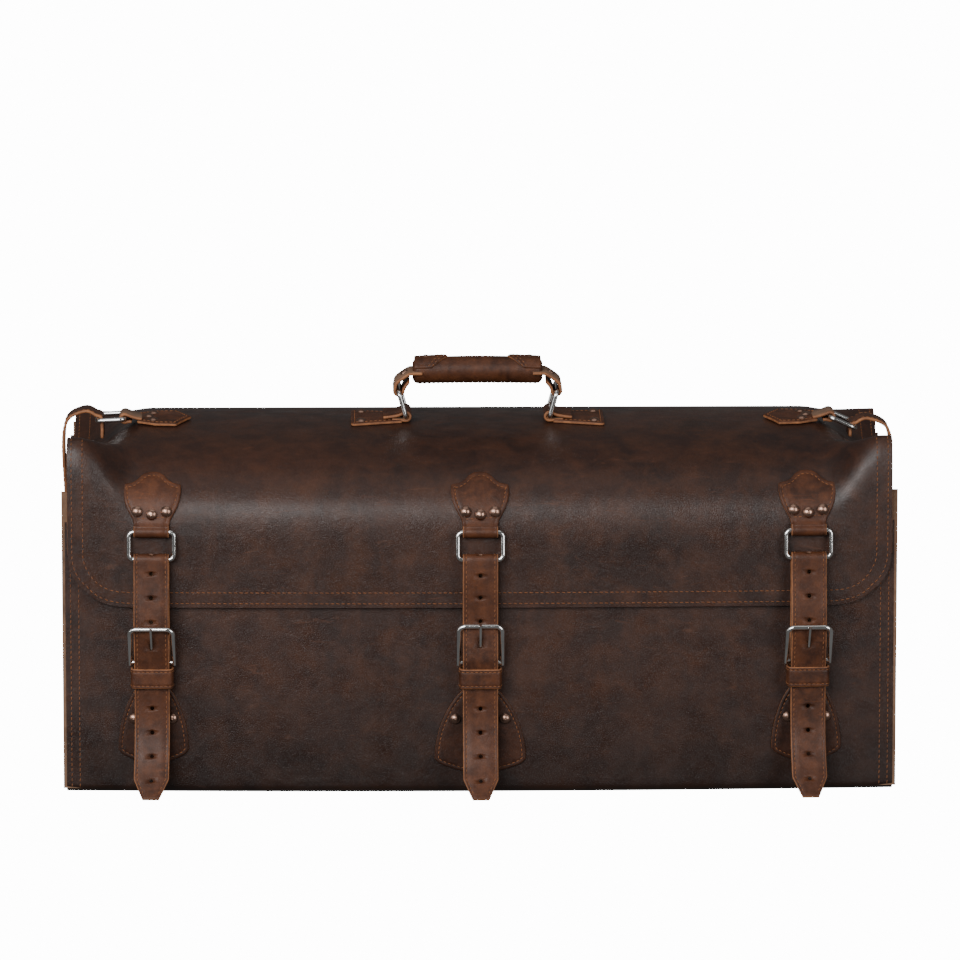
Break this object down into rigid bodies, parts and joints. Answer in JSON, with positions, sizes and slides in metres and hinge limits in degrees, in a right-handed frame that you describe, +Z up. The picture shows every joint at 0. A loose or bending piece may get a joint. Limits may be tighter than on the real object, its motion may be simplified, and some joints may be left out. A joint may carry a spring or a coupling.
{
  "type": "garment bag",
  "caption": "Long leather garment bag with a full-width flap, buckled closing straps on the front and ends, and a carry handle on rings.",
  "frame": {"origin": "centre of the body's base, on the floor under the middle of the case", "axes": "+X to the right along the bag as seen from the front, -Y out of the front panel, +Z up"},
  "size_m": [0.7268, 0.2951, 0.363],
  "materials": {
    "case_leather": "waxed dark brown, slightly glossy",
    "strap_leather": "waxed reddish brown with raw tan edges",
    "board": "plain stiffener",
    "nickel": "polished nickel plate",
    "rivet_metal": "antique bronze"
  },
  "bodies": {
    "case": {"case_wrap": "case_leather", "base_board": "board", "gusset_left": "case_leather", "gusset_right": "case_leather", "rivets_case": "rivet_metal", "bell_tab_left": "strap_leather", "bell_tab_middle": "strap_leather", "bell_tab_right": "strap_leather", "bell_tab_side_left": "strap_leather", "bell_tab_side_right": "strap_leather", "keeper_left": "strap_leather", "keeper_middle": "strap_leather", "keeper_right": "strap_leather", "keeper_side_left": "strap_leather", "keeper_side_right": "strap_leather", "strap_left": "strap_leather", "strap_middle": "strap_leather", "strap_right": "strap_leather", "strap_side_left": "strap_leather", "strap_side_right": "strap_leather"},
    "flap_top": {"flap_top": "case_leather", "flap_top_strips": "strap_leather", "corner_tab_left": "strap_leather", "corner_tab_right": "strap_leather", "handle_tab_left": "strap_leather", "handle_tab_right": "strap_leather", "rivets_flap_top": "rivet_metal"},
    "flap_front": {"flap_front": "case_leather", "flap_front_strip": "strap_leather", "rivets_flap_front": "rivet_metal", "shield_tab_left": "strap_leather", "shield_tab_middle": "strap_leather", "shield_tab_right": "strap_leather"},
    "handle": {"handle_strap": "strap_leather", "handle_core": "board", "handle_wrap": "strap_leather", "rivets_handle": "rivet_metal"},
    "buckle_left": {"buckle_frame_left": "nickel"},
    "prong_left": {"buckle_prong_left": "nickel"},
    "buckle_middle": {"buckle_frame_middle": "nickel"},
    "prong_middle": {"buckle_prong_middle": "nickel"},
    "buckle_right": {"buckle_frame_right": "nickel"},
    "prong_right": {"buckle_prong_right": "nickel"},
    "buckle_side_left": {"buckle_frame_side_left": "nickel"},
    "prong_side_left": {"buckle_prong_side_left": "nickel"},
    "buckle_side_right": {"buckle_frame_side_right": "nickel"},
    "prong_side_right": {"buckle_prong_side_right": "nickel"},
    "ring_left": {"front_ring_left": "nickel"},
    "ring_middle": {"front_ring_middle": "nickel"},
    "ring_right": {"front_ring_right": "nickel"},
    "side_ring_left": {"side_ring_left": "nickel"},
    "handle_ring_left": {"handle_ring_left": "nickel"},
    "side_ring_right": {"side_ring_right": "nickel"},
    "handle_ring_right": {"handle_ring_right": "nickel"}
  },
  "joints": [
    {"name": "flap_top_hinge", "type": "hinge", "parent": "case", "child": "flap_top", "pos_m": [0, 0.1206, 0.2853], "axis": [-1, 0, 0], "range_deg": [0, 120], "deforming": ["strap_side_left", "strap_side_right"]},
    {"name": "flap_front_hinge", "type": "hinge", "parent": "flap_top", "child": "flap_front", "pos_m": [0, -0.08728, 0.28788], "axis": [-1, 0, 0], "range_deg": [0, 95], "deforming": ["strap_left", "strap_middle", "strap_right"]},
    {"name": "ring_left_hinge", "type": "hinge", "parent": "flap_front", "child": "ring_left", "pos_m": [-0.28146, -0.13416, 0.2295], "axis": [-0.999, 0.0443, 0], "range_deg": [0, 80]},
    {"name": "ring_middle_hinge", "type": "hinge", "parent": "flap_front", "child": "ring_middle", "pos_m": [0, -0.1404, 0.2295], "axis": [-1, 0, 0], "range_deg": [0, 80]},
    {"name": "ring_right_hinge", "type": "hinge", "parent": "flap_front", "child": "ring_right", "pos_m": [0.28146, -0.13416, 0.2295], "axis": [-0.999, -0.0443, 0], "range_deg": [0, 80]},
    {"name": "side_ring_left_hinge", "type": "hinge", "parent": "flap_top", "child": "side_ring_left", "pos_m": [-0.307, 0, 0.309], "axis": [0, 1, 0], "range_deg": [0, 60]},
    {"name": "side_ring_right_hinge", "type": "hinge", "parent": "flap_top", "child": "side_ring_right", "pos_m": [0.307, 0, 0.309], "axis": [0, -1, 0], "range_deg": [0, 60]},
    {"name": "buckle_left_hinge", "type": "hinge", "parent": "case", "child": "buckle_left", "pos_m": [-0.28144, -0.13366, 0.116], "axis": [0.999, -0.0443, 0], "range_deg": [0, 30]},
    {"name": "prong_left_hinge", "type": "hinge", "parent": "buckle_left", "child": "prong_left", "pos_m": [-0.28144, -0.13366, 0.116], "axis": [0.999, -0.0443, 0], "range_deg": [0, 40]},
    {"name": "buckle_middle_hinge", "type": "hinge", "parent": "case", "child": "buckle_middle", "pos_m": [0, -0.1399, 0.116], "axis": [1, 0, 0], "range_deg": [0, 30]},
    {"name": "prong_middle_hinge", "type": "hinge", "parent": "buckle_middle", "child": "prong_middle", "pos_m": [0, -0.1399, 0.116], "axis": [1, 0, 0], "range_deg": [0, 40]},
    {"name": "buckle_right_hinge", "type": "hinge", "parent": "case", "child": "buckle_right", "pos_m": [0.28144, -0.13366, 0.116], "axis": [0.999, 0.0443, 0], "range_deg": [0, 30]},
    {"name": "prong_right_hinge", "type": "hinge", "parent": "buckle_right", "child": "prong_right", "pos_m": [0.28144, -0.13366, 0.116], "axis": [0.999, 0.0443, 0], "range_deg": [0, 40]},
    {"name": "buckle_side_left_hinge", "type": "hinge", "parent": "case", "child": "buckle_side_left", "pos_m": [-0.3459, 0, 0.116], "axis": [0, -1, 0], "range_deg": [0, 30]},
    {"name": "prong_side_left_hinge", "type": "hinge", "parent": "buckle_side_left", "child": "prong_side_left", "pos_m": [-0.3459, 0, 0.116], "axis": [0, -1, 0], "range_deg": [0, 40]},
    {"name": "buckle_side_right_hinge", "type": "hinge", "parent": "case", "child": "buckle_side_right", "pos_m": [0.3459, 0, 0.116], "axis": [0, 1, 0], "range_deg": [0, 30]},
    {"name": "prong_side_right_hinge", "type": "hinge", "parent": "buckle_side_right", "child": "prong_side_right", "pos_m": [0.3459, 0, 0.116], "axis": [0, 1, 0], "range_deg": [0, 40]},
    {"name": "handle_ring_left_hinge", "type": "hinge", "parent": "flap_top", "child": "handle_ring_left", "pos_m": [-0.0625, -0.00039, 0.31107], "axis": [0, 0.9972, 0.0746], "range_deg": [-12, 12]},
    {"name": "handle_pivot", "type": "hinge", "parent": "handle_ring_left", "child": "handle", "pos_m": [-0.06858, -0.00208, 0.33371], "axis": [0, 0.9972, 0.0746], "range_deg": [-11, 11]},
    {"name": "handle_ring_right_hinge", "type": "hinge", "parent": "flap_top", "child": "handle_ring_right", "pos_m": [0.0625, -0.00039, 0.31107], "axis": [0, 0.9972, 0.0746], "range_deg": [-12, 12]}
  ],
  "couplings": [
    {"joint": "handle_pivot", "follows": "handle_ring_left_hinge", "ratio": -0.9115},
    {"joint": "handle_ring_right_hinge", "follows": "handle_ring_left_hinge", "ratio": 1}
  ]
}
